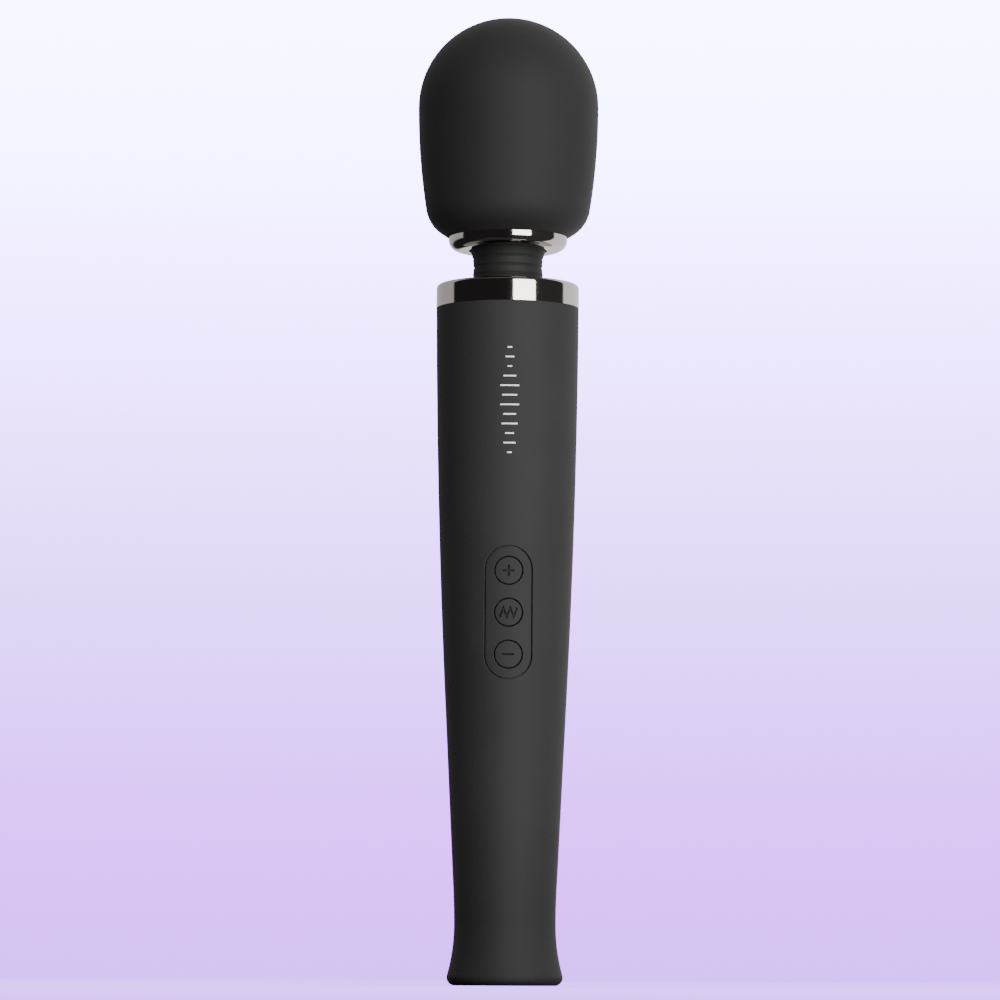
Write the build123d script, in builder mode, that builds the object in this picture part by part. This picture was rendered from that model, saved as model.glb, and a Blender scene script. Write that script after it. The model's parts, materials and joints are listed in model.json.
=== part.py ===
"""Handheld cordless wand massager.

A round tapered grip stands on its flared foot. A motor in the grip turns an eccentric weight in the
head through a coil spring that runs inside a flexible neck.

Frame: millimetres, +Z up along the wand, origin at the middle of the foot, buttons facing -Y.
"""

from math import asin, atan2, cos, degrees, hypot, radians, sin, tan
import os

from build123d import *

os.makedirs("parts", exist_ok=True)

# ---------------------------------------------------------------- driving dimensions
FIT = 0.05  # gap between pieces that are assembled face to face

# grip: the outer form, from the foot up
GRIP_TOP = 238.3
GRIP_TOP_R = 25.2
WAIST_R = 17.8
WAIST_Z = 21.0
FLARE_RADIUS = 64.0
FOOT_FILLET = 2.8
SWELL_R, SWELL_Z = 18.35, 38.0
TAPER_R, TAPER_Z = 21.6, 105.0
SKIN = 1.5
SHELL = 2.4
SHELL_OUT = SKIN + FIT
SHELL_IN = SHELL_OUT + SHELL

# foot and charging socket
FOOT_HOLE_R = 14.2
CAP_R = 13.9
CAP_Z = 0.5
CAP_FLANGE_R = 15.3
CAP_FLANGE_Z = SHELL_OUT + SHELL + FIT
CAP_TOP = CAP_FLANGE_Z + 1.5
PORT_R = 3.1
PORT_LENGTH = 2.5
JACK_R = 4.6
JACK_BORE_R = 2.8
JACK_BORE_LENGTH = 9.0
CONTACT_R = 1.05
CONTACT_LENGTH = 7.4

# keypad
PAD_Z = 129.2
PAD_LENGTH = 46.5
PAD_WIDTH = 16.6
PAD_SUNK = 0.35
PAD_GAP = 0.3
BEZEL_BACK = 2.5
GASKET = 0.5
BUTTON_PITCH = 14.55
BUTTON_R = 4.7
BUTTON_HOLE_R = 5.0
BUTTON_SUNK = 0.3
SOFT_EDGE = 0.25  # rounding of the moulded edges round the keypad and its buttons
SYMBOL_DEPTH = 0.35
SYMBOL_WIDTH = 0.6

# motor
MOTOR_R = 17.9
MOTOR_Z = 168.0
MOTOR_LENGTH = 52.0
MOTOR_TOP = MOTOR_Z + MOTOR_LENGTH
MOTOR_SHAFT_R = 1.585
RUNNING = 0.035  # radial clearance of a turning shaft

# neck
COLLAR_TOP = 246.8
COLLAR_PLATE = 2.0
COLLAR_HOLE_R = 13.5
NECK_WAIST_R = 12.2
NECK_END_R = 13.3
SLEEVE_WALL = 1.9
SLEEVE_FLANGE_R = 15.5

# head
HEAD_TOP = 342.2
HEAD_R = 31.95
HEAD_SIDE_R, HEAD_SIDE_Z = 29.05, 273.6
HEAD_CORNER_R, HEAD_CORNER_Z = 24.0, 265.6
HEAD_LIP_Z = 263.7
RING_R = 21.0
RING_BOTTOM = 259.0
RING_HOLE_R = 13.85
RING_CORNER = 3.8
COVER = 3.0
CUP_OUT = COVER + FIT
CUP_WALL = 2.4
CUP_SPLIT_Z = 298.0
CUP_FOOT_R = 18.9
CUP_FOOT_Z = 263.55

# eccentric drive
AXLE_R = 3.0
BEARING_R = 9.5
BEARING_WIDTH = 6.0
BEARING_ZS = (270.0, 310.0)
BALL_R = 1.56
BALL_COUNT = 7
BALL_CIRCLE_R = (AXLE_R + BEARING_R) / 2
WEIGHT_R = 13.0
WEIGHT_LOW = 280.0
WEIGHT_HEIGHT = 20.0

# power and electronics
CELL_R = 9.15
CELL_LENGTH = 65.0
CELL_Y = 2.6
CELL_ZS = (20.0, 87.0)
BOARD_FRONT = 12.6  # distance of the main board's front face from the axis
BOARD_THICKNESS = 1.6
BOARD_WIDTH = 20.0
BOARD_LOW, BOARD_HIGH = 100.0, 158.0

BUTTON_ZS = {
    "plus": PAD_Z + BUTTON_PITCH,
    "mode": PAD_Z,
    "minus": PAD_Z - BUTTON_PITCH,
}


def save(piece, name):
    """Labels a finished piece and writes its STEP file."""
    piece.part.label = name
    export_step(piece.part, f"parts/{name}.step")


# ---------------------------------------------------------------- shared forms
def inset_point(point, lean, inset):
    """The point moved inward by inset, square to a surface that leans by the given angle from upright."""
    return (point[0] - inset * cos(lean), point[1] + inset * sin(lean))


def turned_between(outline, z_low, z_high):
    """The solid turned from a half outline and kept between two heights."""
    with BuildPart() as form:
        with BuildSketch(Plane.XZ):
            add(outline)
            make_face()
            with Locations((HEAD_R, (z_low + z_high) / 2)):
                Rectangle(2 * HEAD_R, z_high - z_low, mode=Mode.INTERSECT)
        revolve(axis=Axis.Z)
    return form.part


def grip_form(inset, z_low=0.0, z_high=GRIP_TOP):
    """The grip's outer form set in by inset: foot fillet, flare, waist, taper and belly."""
    flare_centre = (WAIST_R + FLARE_RADIUS, WAIST_Z)
    drop = WAIST_Z - FOOT_FILLET
    toe_angle = asin(drop / (FLARE_RADIUS + FOOT_FILLET))
    toe_x = flare_centre[0] - (FLARE_RADIUS + FOOT_FILLET) * cos(toe_angle)
    taper_lean = atan2(TAPER_R - SWELL_R, TAPER_Z - SWELL_Z)
    belly_lean = 2 * atan2(GRIP_TOP_R - TAPER_R, GRIP_TOP - TAPER_Z) - taper_lean
    with BuildLine() as outline:
        if inset < FOOT_FILLET:
            sweep_angle = degrees(toe_angle)
            Line((0, inset), (toe_x, inset))
            CenterArc((toe_x, FOOT_FILLET), FOOT_FILLET - inset, -90, 90 + sweep_angle)
        else:
            sweep_angle = degrees(asin((WAIST_Z - inset) / (FLARE_RADIUS + inset)))
            Line((0, inset), (flare_centre[0] - (FLARE_RADIUS + inset) * cos(radians(sweep_angle)), inset))
        flare = CenterArc(flare_centre, FLARE_RADIUS + inset, 180 + sweep_angle, -sweep_angle)
        swell = TangentArc(flare @ 1, inset_point((SWELL_R, SWELL_Z), taper_lean, inset), tangent=(0, 1))
        taper = Line(swell @ 1, inset_point((TAPER_R, TAPER_Z), taper_lean, inset))
        belly = TangentArc(
            taper @ 1, inset_point((GRIP_TOP_R, GRIP_TOP), belly_lean, inset), tangent=taper % 1
        )
        side = Line(belly @ 1, (GRIP_TOP_R - inset, GRIP_TOP + 10))
        Polyline(side @ 1, (0, GRIP_TOP + 10), (0, inset))
    return turned_between(outline.line, z_low, z_high)


def head_form(inset):
    """The head's outer form set in by inset: dome, long side, lower corner and the slope to the lip."""
    side_lean = 2 * atan2(HEAD_R - HEAD_SIDE_R, HEAD_TOP - HEAD_R - HEAD_SIDE_Z)
    slope_lean = 2 * atan2(HEAD_SIDE_R - HEAD_CORNER_R, HEAD_SIDE_Z - HEAD_CORNER_Z) - side_lean
    floor_z = HEAD_LIP_Z + inset
    with BuildLine() as outline:
        dome = CenterArc((0, HEAD_TOP - HEAD_R), HEAD_R - inset, 90, -90)
        side = TangentArc(
            dome @ 1, inset_point((HEAD_SIDE_R, HEAD_SIDE_Z), side_lean, inset), tangent=(0, -1)
        )
        corner = TangentArc(
            side @ 1, inset_point((HEAD_CORNER_R, HEAD_CORNER_Z), slope_lean, inset), tangent=side % 1
        )
        lip_r = (corner @ 1).X - ((corner @ 1).Y - floor_z) * tan(slope_lean)
        Polyline(corner @ 1, (lip_r, floor_z), (0, floor_z), (0, HEAD_TOP - inset))
    return turned_between(outline.line, floor_z, HEAD_TOP)


def pad_prism(margin, length=40.0):
    """The keypad's long rounded outline, smaller by margin all round, run forward from the axis."""
    with BuildPart() as prism:
        with BuildSketch(Plane.XZ):
            with Locations((0, PAD_Z)):
                SlotOverall(PAD_LENGTH - 2 * margin, PAD_WIDTH - 2 * margin, rotation=90)
        extrude(amount=length)
    return prism.part


def tube(outer, inner, z_low, z_high):
    """An upright tube about the wand's axis; an inner radius of 0 makes a disc."""
    with BuildPart() as piece:
        with BuildSketch(Plane.XY.offset(z_low)):
            Circle(outer)
            if inner:
                Circle(inner, mode=Mode.SUBTRACT)
        extrude(amount=z_high - z_low)
    return piece.part


def posts(radius, circle, z_low, z_high, count=4, start=45):
    """Upright round posts, evenly spaced on a circle about the axis."""
    with BuildPart() as piece:
        with BuildSketch(Plane.XY.offset(z_low)):
            with PolarLocations(circle, count, start_angle=start):
                Circle(radius)
        extrude(amount=z_high - z_low)
    return piece.part


def rods(radius, places, y_low, y_high):
    """Round bars running front to back, one at each (x, z) place."""
    with BuildPart() as piece:
        with BuildSketch(Plane.XZ.offset(-y_high)):
            with Locations(*places):
                Circle(radius)
        extrude(amount=y_high - y_low)
    return piece.part


def slab(x_low, x_high, y_low, y_high, z_low, z_high):
    """A square-edged block between the given faces."""
    with BuildPart() as piece:
        with BuildSketch(Plane.XY.offset(z_low)):
            with Locations(((x_low + x_high) / 2, (y_low + y_high) / 2)):
                Rectangle(x_high - x_low, y_high - y_low)
        extrude(amount=z_high - z_low)
    return piece.part


def cell(x, y, radius, z_low, z_high):
    """An upright round bar away from the wand's axis."""
    with BuildPart() as piece:
        with BuildSketch(Plane.XY.offset(z_low)):
            with Locations((x, y)):
                Circle(radius)
        extrude(amount=z_high - z_low)
    return piece.part


def wire(radius, bend, *points):
    """A wire of straight runs joined by bends of one radius."""
    with BuildPart() as piece:
        with BuildLine() as route:
            FilletPolyline(*points, radius=bend)
        with BuildSketch(Plane(origin=route.line @ 0, z_dir=route.line % 0)):
            Circle(radius)
        sweep()
    return piece.part


def coil(radius, wire_radius, pitch, z_low, z_high):
    """A coil spring about the axis, wire centre running from z_low to z_high."""
    with BuildPart() as piece:
        with BuildLine() as route:
            Helix(pitch=pitch, height=z_high - z_low, radius=radius, center=(0, 0, z_low))
        with BuildSketch(Plane(origin=route.line @ 0, z_dir=route.line % 0)):
            Circle(wire_radius)
        sweep(is_frenet=True)
    return piece.part


def grip_radius(z):
    """Outer radius of the grip between the end of its taper and its top, good to half a millimetre."""
    share = (z - TAPER_Z) / (GRIP_TOP - TAPER_Z)
    return TAPER_R + share * (GRIP_TOP_R - TAPER_R) + 2.2 * share * (1 - share)


def keypad_rim(edges, depth):
    """The edges that lie on the keypad's front, which is sunk by depth into the grip's outer form."""
    near = edges.filter_by_position(Axis.Z, PAD_Z - PAD_LENGTH / 2, PAD_Z + PAD_LENGTH / 2)
    near = near.filter_by_position(Axis.X, -PAD_WIDTH / 2, PAD_WIDTH / 2)
    return near.filter_by(
        lambda edge: hypot((edge @ 0.5).X, (edge @ 0.5).Y) > grip_radius((edge @ 0.5).Z) - depth - SKIN / 2
    )


# ---------------------------------------------------------------- grip shell and its soft skin
SHELL_RIM = 240.4
JOIN_SCREWS = ((11.2, 11.0), (15.7, 160.9), (17.4, 228.3))
JOIN_PLACES = [(side * x, z) for x, z in JOIN_SCREWS for side in (-1, 1)]
JOIN_BOSS_R = 2.6
JOIN_BOSS_Y = 8.5
JOIN_HEAD_Y = 5.0
JOIN_HEAD_R = 2.2
SCREW_R = 1.25
SCREW_TIP_Y = -6.0
NECK_SCREW_CIRCLE = 18.6
NECK_BOSS_R = 2.8
NECK_BOSS_Z = 232.5
LOWER_SHELF = (164.2, 165.9)
UPPER_SHELF = (222.05, 223.9)
STAKE_ZS = (103.0, 155.0)
STAKE_POST_R = 2.3
STAKE_R = 0.95
STAKE_TIP_Y = -10.6
STOP_R = 5.9  # retaining rim on the back of each button
CAP_HOLE_R = BUTTON_HOLE_R + 0.1
BUTTON_PLACES = [(0, z) for z in BUTTON_ZS.values()]

grip_full = grip_form(0)
grip_skin_inner = grip_form(SKIN, SKIN)
shell_outer = grip_form(SHELL_OUT, SHELL_OUT, SHELL_RIM)
shell_inner = grip_form(SHELL_IN, SHELL_IN, SHELL_RIM + 2)
pad_cut = pad_prism(0)

with BuildPart() as grip_skin:
    add(grip_full)
    add(grip_skin_inner, mode=Mode.SUBTRACT)
    add(tube(FOOT_HOLE_R, 0, -1, SKIN + 1), mode=Mode.SUBTRACT)
    add(pad_cut, mode=Mode.SUBTRACT)
    fillet(keypad_rim(grip_skin.edges(), 0), radius=SOFT_EDGE)
save(grip_skin, "grip_skin")

with BuildPart() as pad_pocket:
    add(pad_prism(PAD_GAP - 0.1))
    add(grip_form(BEZEL_BACK + FIT, SKIN), mode=Mode.SUBTRACT)

with BuildPart() as shell_ribs:
    add(tube(20.6, 16.2, *LOWER_SHELF))
    add(tube(22.0, 17.0, *UPPER_SHELF))
    add(rods(JOIN_BOSS_R, JOIN_PLACES, -JOIN_BOSS_Y, JOIN_BOSS_Y))
    add(posts(NECK_BOSS_R, NECK_SCREW_CIRCLE, NECK_BOSS_Z, SHELL_RIM))
    for z in STAKE_ZS:
        add(rods(STAKE_POST_R, [(0, z)], 2.8 - grip_radius(z), -BOARD_FRONT - FIT))
        add(rods(STAKE_R, [(0, z)], -BOARD_FRONT - 1, STAKE_TIP_Y))

with BuildPart() as shell:
    add(shell_outer)
    add(shell_inner, mode=Mode.SUBTRACT)
    add(shell_ribs.part)
    add(tube(FOOT_HOLE_R, 0, -1, SHELL_IN + 1), mode=Mode.SUBTRACT)
    add(pad_pocket.part, mode=Mode.SUBTRACT)
    add(rods(CAP_HOLE_R, BUTTON_PLACES, -30, -BOARD_FRONT - 2), mode=Mode.SUBTRACT)
    add(rods(SCREW_R + FIT, JOIN_PLACES, SCREW_TIP_Y - 0.1, 25), mode=Mode.SUBTRACT)
    add(rods(JOIN_HEAD_R + FIT, JOIN_PLACES, JOIN_HEAD_Y, 25), mode=Mode.SUBTRACT)
    add(posts(SCREW_R + FIT, NECK_SCREW_CIRCLE, NECK_BOSS_Z + 1, SHELL_RIM), mode=Mode.SUBTRACT)

with BuildPart() as handle_shell_front:
    add(shell.part)
    add(slab(-30, 30, -30, -FIT / 2, -1, 250), mode=Mode.INTERSECT)
save(handle_shell_front, "handle_shell_front")

with BuildPart() as handle_shell_rear:
    add(shell.part)
    add(slab(-30, 30, FIT / 2, 30, -1, 250), mode=Mode.INTERSECT)
save(handle_shell_rear, "handle_shell_rear")

with BuildPart() as shell_screws:
    add(rods(SCREW_R, JOIN_PLACES, SCREW_TIP_Y, JOIN_HEAD_Y + FIT))
    add(rods(JOIN_HEAD_R, JOIN_PLACES, JOIN_HEAD_Y + FIT, JOIN_HEAD_Y + 1.9))
    with BuildPart(mode=Mode.PRIVATE) as drive:
        add(rods(0.9, JOIN_PLACES, JOIN_HEAD_Y + 0.9, JOIN_HEAD_Y + 3))
    add(drive.part, mode=Mode.SUBTRACT)
save(shell_screws, "shell_screws")

# ---------------------------------------------------------------- foot cap and charging socket
SEAL_R = 0.5
SEAL_CIRCLE = 13.55
SEAL_Z = 2.75

with BuildPart() as base_cap:
    add(tube(CAP_R, 0, CAP_Z, CAP_FLANGE_Z + 0.5))
    chamfer(base_cap.edges().group_by(Axis.Z)[0], length=0.4)
    add(tube(CAP_FLANGE_R, 0, CAP_FLANGE_Z, CAP_TOP))
    add(tube(CAP_R + 1, SEAL_CIRCLE - SEAL_R - FIT, SEAL_Z - 0.6, SEAL_Z + 0.6), mode=Mode.SUBTRACT)
    add(tube(PORT_R, 0, 0, CAP_TOP), mode=Mode.SUBTRACT)
    add(tube(JACK_R + FIT, 0, CAP_Z + PORT_LENGTH, CAP_TOP), mode=Mode.SUBTRACT)
save(base_cap, "base_cap")

with BuildPart() as base_seal:
    with BuildSketch(Plane.XZ):
        with Locations((SEAL_CIRCLE, SEAL_Z)):
            Circle(SEAL_R)
    revolve(axis=Axis.Z)
save(base_seal, "base_seal")

JACK_Z = CAP_Z + PORT_LENGTH + FIT
JACK_TOP = 14.4

with BuildPart() as charge_jack:
    add(tube(JACK_R, 0, JACK_Z, JACK_TOP))
    add(tube(JACK_BORE_R, 0, JACK_Z, JACK_Z + JACK_BORE_LENGTH), mode=Mode.SUBTRACT)
    add(tube(CONTACT_R + FIT, 0, JACK_Z, JACK_TOP), mode=Mode.SUBTRACT)
save(charge_jack, "charge_jack")

with BuildPart() as charge_pin:
    add(tube(CONTACT_R, 0, JACK_Z + JACK_BORE_LENGTH - CONTACT_LENGTH, JACK_TOP))
    fillet(charge_pin.edges().group_by(Axis.Z)[0], radius=0.5)
save(charge_pin, "charge_pin")

CHARGE_BOARD = (JACK_TOP + 0.3, JACK_TOP + 1.5)
CHARGE_BOARD_R = 11.5
CHARGE_CHIPS = ((-3, 3, 4, 7, 0.9), (-7.5, -4.5, -3, 0, 0.8), (4.5, 7.5, -2, 2, 0.7))  # x, y, thickness

with BuildPart() as charge_board:
    add(tube(CHARGE_BOARD_R, 0, *CHARGE_BOARD))
    for *edges, thickness in CHARGE_CHIPS:
        add(slab(*edges, CHARGE_BOARD[1], CHARGE_BOARD[1] + thickness))
save(charge_board, "charge_board")

# ---------------------------------------------------------------- keypad
with BuildPart() as keypad_bezel:
    add(grip_form(PAD_SUNK, SKIN))
    add(grip_form(BEZEL_BACK - GASKET - FIT, SKIN), mode=Mode.SUBTRACT)
    add(pad_prism(PAD_GAP), mode=Mode.INTERSECT)
    add(rods(BUTTON_HOLE_R, BUTTON_PLACES, -30, 0), mode=Mode.SUBTRACT)
    fillet(keypad_rim(keypad_bezel.edges(), PAD_SUNK), radius=SOFT_EDGE)
save(keypad_bezel, "keypad_bezel")

with BuildPart() as keypad_seal:
    add(grip_form(BEZEL_BACK - GASKET, SKIN))
    add(grip_form(BEZEL_BACK, SKIN), mode=Mode.SUBTRACT)
    add(pad_prism(PAD_GAP + 0.1), mode=Mode.INTERSECT)
    add(rods(BUTTON_HOLE_R + 0.4, BUTTON_PLACES, -30, 0), mode=Mode.SUBTRACT)
save(keypad_seal, "keypad_seal")

STOP_FRONT_Y = -16.6
STOP_BACK_Y = -15.5
SWITCH_TOP_Y = -BOARD_FRONT - 1.8
SWITCH_SIDE = 6.0
PLUNGER_R = 1.3
PLUNGER_HOLE_R = 1.65
PLUNGER_TIP_Y = SWITCH_TOP_Y + 0.55

button_front = grip_form(BUTTON_SUNK, SKIN)
symbol_floor = grip_form(BUTTON_SUNK + SYMBOL_DEPTH, SKIN)


def button_blank(z):
    """A button before its symbol is engraved: round cap with a retaining rim on its back."""
    with BuildPart() as piece:
        add(rods(BUTTON_R, [(0, z)], -30, STOP_BACK_Y))
        add(button_front, mode=Mode.INTERSECT)
        fillet(piece.faces().sort_by(Axis.Y)[0].edges(), radius=SOFT_EDGE)
        add(rods(STOP_R, [(0, z)], STOP_FRONT_Y, STOP_BACK_Y))
    return piece.part


def symbol_cutter(outline):
    """The engraved symbol as a shallow curved solid just under the button's face."""
    with BuildPart() as piece:
        extrude(outline, amount=30)
        add(symbol_floor, mode=Mode.SUBTRACT)
    return piece.part


with BuildSketch(Plane.XZ) as plus_outline:
    with Locations((0, BUTTON_ZS["plus"])):
        Rectangle(4.0, SYMBOL_WIDTH)
        Rectangle(SYMBOL_WIDTH, 4.0)

with BuildSketch(Plane.XZ) as mode_outline:
    with BuildLine():
        Polyline(*[(-3.0 + 1.2 * i, PAD_Z + (1.6 if i % 2 else -1.6)) for i in range(6)])
    trace(line_width=SYMBOL_WIDTH)

with BuildSketch(Plane.XZ) as minus_outline:
    with Locations((0, BUTTON_ZS["minus"])):
        Rectangle(4.0, SYMBOL_WIDTH)

with BuildPart() as button_plus:
    add(button_blank(BUTTON_ZS["plus"]))
    add(symbol_cutter(plus_outline.sketch), mode=Mode.SUBTRACT)
save(button_plus, "button_plus")

with BuildPart() as button_mode:
    add(button_blank(BUTTON_ZS["mode"]))
    add(symbol_cutter(mode_outline.sketch), mode=Mode.SUBTRACT)
save(button_mode, "button_mode")

with BuildPart() as button_minus:
    add(button_blank(BUTTON_ZS["minus"]))
    add(symbol_cutter(minus_outline.sketch), mode=Mode.SUBTRACT)
save(button_minus, "button_minus")

for label, height in BUTTON_ZS.items():
    with BuildPart() as switch_plunger:
        add(rods(PLUNGER_R, [(0, height)], STOP_BACK_Y + FIT, PLUNGER_TIP_Y))
    save(switch_plunger, f"switch_plunger_{label}")

with BuildPart() as tact_switches:
    for z in BUTTON_ZS.values():
        half = SWITCH_SIDE / 2
        add(slab(-half, half, SWITCH_TOP_Y, -BOARD_FRONT - FIT, z - half, z + half))
    add(rods(PLUNGER_HOLE_R, BUTTON_PLACES, -30, SWITCH_TOP_Y + 1.2), mode=Mode.SUBTRACT)
save(tact_switches, "tact_switches")

# ---------------------------------------------------------------- main board, cells and wiring
BOARD_BACK = BOARD_THICKNESS - BOARD_FRONT
CHIP_Y = BOARD_BACK + FIT

with BuildPart() as main_board:
    add(slab(-BOARD_WIDTH / 2, BOARD_WIDTH / 2, -BOARD_FRONT, BOARD_BACK, BOARD_LOW, BOARD_HIGH))
    add(rods(STAKE_R + FIT, [(0, z) for z in STAKE_ZS], -30, 0), mode=Mode.SUBTRACT)
    fillet(main_board.edges().filter_by(Axis.Y).filter_by(GeomType.LINE), radius=1.5)
save(main_board, "main_board")

CHIPS = (  # x from, x to, thickness, z from, z to
    (1.5, 8.5, 1.0, 128.0, 135.0),
    (-8.5, -3.5, 1.2, 122.0, 128.0),
    (2.5, 8.0, 2.4, 139.0, 144.5),
    (-8.0, -5.0, 1.6, 133.0, 138.0),
    (-2.0, 0.5, 0.8, 122.0, 126.0),
)

with BuildPart() as board_chips:
    for x_low, x_high, thickness, z_low, z_high in CHIPS:
        add(slab(x_low, x_high, CHIP_Y, CHIP_Y + thickness, z_low, z_high))
save(board_chips, "board_chips")


def battery_cell(z):
    """A round lithium cell with its raised positive button."""
    with BuildPart() as piece:
        with BuildSketch(Plane.XY.offset(z)):
            with Locations((0, CELL_Y)):
                Circle(CELL_R)
        extrude(amount=CELL_LENGTH - 0.8)
        fillet(piece.edges(), radius=0.8)
        add(cell(0, CELL_Y, 3.2, z + CELL_LENGTH - 1, z + CELL_LENGTH))
    return piece.part


with BuildPart() as battery_cell_lower:
    add(battery_cell(CELL_ZS[0]))
save(battery_cell_lower, "battery_cell_lower")

with BuildPart() as battery_cell_upper:
    add(battery_cell(CELL_ZS[1]))
save(battery_cell_upper, "battery_cell_upper")

HOLDER_R = 10.5
HOLDER_WALL = 1.25
TAB = 0.6
TONGUE_Y = -9.3
CELL_LEAD_Y = -8.6
CELL_LOW = CELL_ZS[0]
CELL_HIGH = CELL_ZS[1] + CELL_LENGTH
HOLDER_LOW = CELL_LOW - TAB - 2 * FIT
HOLDER_HIGH = CELL_HIGH + TAB + 2 * FIT

with BuildPart() as battery_holder:
    add(cell(0, CELL_Y, HOLDER_R, HOLDER_LOW - HOLDER_WALL, HOLDER_HIGH + HOLDER_WALL))
    add(cell(0, CELL_Y, CELL_R + 0.1, HOLDER_LOW, HOLDER_HIGH), mode=Mode.SUBTRACT)
    add(slab(-12, 12, -12, CELL_Y, HOLDER_LOW, HOLDER_HIGH), mode=Mode.SUBTRACT)
save(battery_holder, "battery_holder")

with BuildPart() as battery_tabs:
    add(cell(0, CELL_Y, 6.0, CELL_LOW - TAB - FIT, CELL_LOW - FIT))
    add(slab(-2, 2, TONGUE_Y, CELL_Y, CELL_LOW - TAB - FIT, CELL_LOW - FIT))
    add(cell(0, CELL_Y, 5.0, CELL_LOW + CELL_LENGTH + FIT, CELL_ZS[1] - FIT))
    add(cell(0, CELL_Y, 6.0, CELL_HIGH + FIT, CELL_HIGH + FIT + TAB))
    add(slab(-2, 2, TONGUE_Y, CELL_Y, CELL_HIGH + FIT, CELL_HIGH + FIT + TAB))
save(battery_tabs, "battery_tabs")

LEAD_R = 0.6
LEAD_Y = BOARD_BACK + LEAD_R + FIT
TONGUE_TOP = CELL_HIGH + FIT + TAB + FIT

with BuildPart() as battery_leads:
    back_y = CELL_LEAD_Y
    add(wire(LEAD_R, 3.0, (0, back_y, CELL_LOW), (0, back_y, 101), (0, LEAD_Y, 107), (0, LEAD_Y, 114)))
    add(wire(LEAD_R, 1.4, (0, back_y, TONGUE_TOP), (0, back_y, 158.4),
             (-6, LEAD_Y, 158.4), (-6, LEAD_Y, 149)))
save(battery_leads, "battery_leads")

with BuildPart() as jack_leads:
    low_z = CHARGE_BOARD[1] + FIT
    for x in (-3.2, 3.2):
        add(wire(LEAD_R, 3.0, (x, -8.8, low_z), (x, -8.8, 97), (x, LEAD_Y, 102), (x, LEAD_Y, 108)))
save(jack_leads, "jack_leads")

# ---------------------------------------------------------------- motor
CAN_WALL = 1.2
CAN_IN = MOTOR_R - CAN_WALL
END_CAP_TOP = MOTOR_Z + 4.0
BUSH_R = 4.0
BUSH_HOLE = MOTOR_SHAFT_R + RUNNING
SHAFT_LOW = MOTOR_Z + 1.0
SHAFT_HIGH = 237.0
STACK = (182.0, 208.0)
ARMATURE_R = 13.2
MAGNET_IN = 13.6
MAGNET_ZS = (179.0, 211.0)
POLE_GAP = 8.0
BORE = MOTOR_SHAFT_R + FIT
CAN_BOSS_R = 5.5
BUSH_LENGTH = 4.5
BRUSH_ZS = (174.5, 177.5)
BRUSH_XS = (4.2, 9.5)
BRUSH_ARM_X = 8.5
COMMUTATOR_R = 3.9
COMMUTATOR_ZS = (173.6, 181.9)
COMMUTATOR_GAP = 0.3
POLES = 5
SLOT_CIRCLE = 8.6
SLOT_MOUTH_CIRCLE = 12.0
WINDING_R = 11.6
WINDING_HOLE_R = 4.4
WINDING_OVERHANG = 3.0

with BuildPart() as motor_can:
    add(tube(MOTOR_R, CAN_IN, MOTOR_Z, MOTOR_TOP))
    add(tube(MOTOR_R, 0, MOTOR_TOP - 1.5, MOTOR_TOP))
    add(tube(CAN_BOSS_R, 0, MOTOR_TOP - BUSH_LENGTH, MOTOR_TOP))
    add(tube(BUSH_R + FIT, 0, MOTOR_TOP - BUSH_LENGTH - 0.5, MOTOR_TOP), mode=Mode.SUBTRACT)
    fillet(motor_can.edges().group_by(Axis.Z)[-1].sort_by(SortBy.RADIUS)[-1], radius=1.2)
save(motor_can, "motor_can")

with BuildPart() as motor_end_cap:
    add(tube(CAN_IN - FIT, 0, MOTOR_Z, END_CAP_TOP))
    add(tube(BUSH_R + FIT, 0, MOTOR_Z + 0.4, END_CAP_TOP), mode=Mode.SUBTRACT)
save(motor_end_cap, "motor_end_cap")

with BuildPart() as motor_bushes:
    add(tube(BUSH_R, BUSH_HOLE, MOTOR_Z + 0.5, END_CAP_TOP))
    add(tube(BUSH_R, BUSH_HOLE, MOTOR_TOP - BUSH_LENGTH, MOTOR_TOP))
save(motor_bushes, "motor_bushes")

with BuildPart() as motor_magnets:
    add(tube(CAN_IN - FIT, MAGNET_IN, *MAGNET_ZS))
    add(slab(-POLE_GAP / 2, POLE_GAP / 2, -MOTOR_R, MOTOR_R, *MAGNET_ZS), mode=Mode.SUBTRACT)
save(motor_magnets, "motor_magnets")

with BuildPart() as motor_brushes:
    add(slab(-BRUSH_XS[1], -BRUSH_XS[0], -1.5, 1.5, *BRUSH_ZS))
    add(slab(BRUSH_XS[0], BRUSH_XS[1], -1.5, 1.5, *BRUSH_ZS))
    for x in (-BRUSH_ARM_X, BRUSH_ARM_X):
        add(slab(x - 1, x + 1, -1, 1, END_CAP_TOP + FIT, BRUSH_ZS[0]))
save(motor_brushes, "motor_brushes")

with BuildPart() as motor_shaft:
    add(tube(MOTOR_SHAFT_R, 0, SHAFT_LOW, SHAFT_HIGH))
    chamfer(motor_shaft.edges().group_by(Axis.Z)[-1], length=0.3)
save(motor_shaft, "motor_shaft")

with BuildPart() as motor_armature:
    with BuildSketch(Plane.XY.offset(STACK[0])):
        Circle(ARMATURE_R)
        with PolarLocations(SLOT_CIRCLE, POLES):
            SlotOverall(6.4, 4.4, rotation=90, mode=Mode.SUBTRACT)
        with PolarLocations(SLOT_MOUTH_CIRCLE, POLES):
            Rectangle(4.0, 1.6, mode=Mode.SUBTRACT)
        Circle(BORE, mode=Mode.SUBTRACT)
    extrude(amount=STACK[1] - STACK[0])
save(motor_armature, "motor_armature")

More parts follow.
